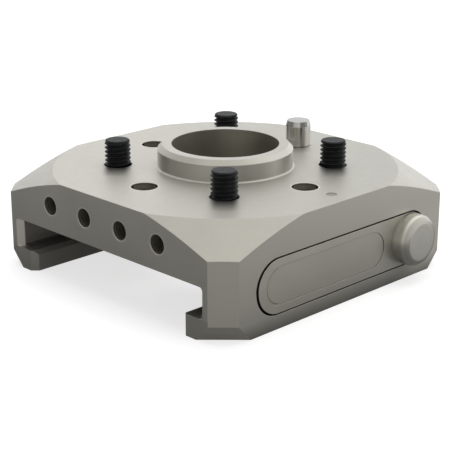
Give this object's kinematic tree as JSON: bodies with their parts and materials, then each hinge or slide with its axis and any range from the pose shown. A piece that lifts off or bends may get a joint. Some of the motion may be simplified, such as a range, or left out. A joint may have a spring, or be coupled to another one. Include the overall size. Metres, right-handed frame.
{
  "type": "robotic tool changer",
  "caption": "Robot-side half of a manual tool changer: flange face with pilot and dowel, T-slot for the tool plate, sprung rocker lever with lock pin, side air ports.",
  "frame": {"origin": "centre of the robot-side mating face, on the axis of the 50 mm screw circle", "axes": "+Z towards the robot's flange, -Y out of the slot's open end where the four air ports are, +X towards the lever side"},
  "size_m": [0.079, 0.075, 0.0298],
  "materials": {
    "body_metal": "bead-blasted and hard anodised, satin warm grey",
    "lever_metal": "satin warm grey, anodised",
    "knob_metal": "turned and satin anodised, warm grey",
    "ground_steel": "hardened and ground, bright",
    "spring_steel": "drawn wire",
    "black_steel": "blackened alloy steel, lightly oiled",
    "seal_rubber": "moulded nitrile rubber"
  },
  "bodies": {
    "changer_body": {"body": "body_metal", "pivot_pin": "ground_steel", "return_spring": "spring_steel", "dowel_pin": "ground_steel", "mounting_screw_1": "black_steel", "mounting_screw_2": "black_steel", "mounting_screw_3": "black_steel", "mounting_screw_4": "black_steel", "port_seal_1": "seal_rubber", "port_seal_2": "seal_rubber", "port_seal_3": "seal_rubber", "port_seal_4": "seal_rubber"},
    "lock_lever": {"lever": "lever_metal", "knob": "knob_metal", "lock_pin": "ground_steel"}
  },
  "joints": [
    {"name": "lever_pivot", "type": "hinge", "parent": "changer_body", "child": "lock_lever", "pos_m": [0.0327, 0, -0.01405], "axis": [0, 0, -1], "range_deg": [0, 7.5], "stiffness_Nm_per_rad": 0.69, "springref_deg": -7.62, "deforming": ["return_spring"]}
  ]
}
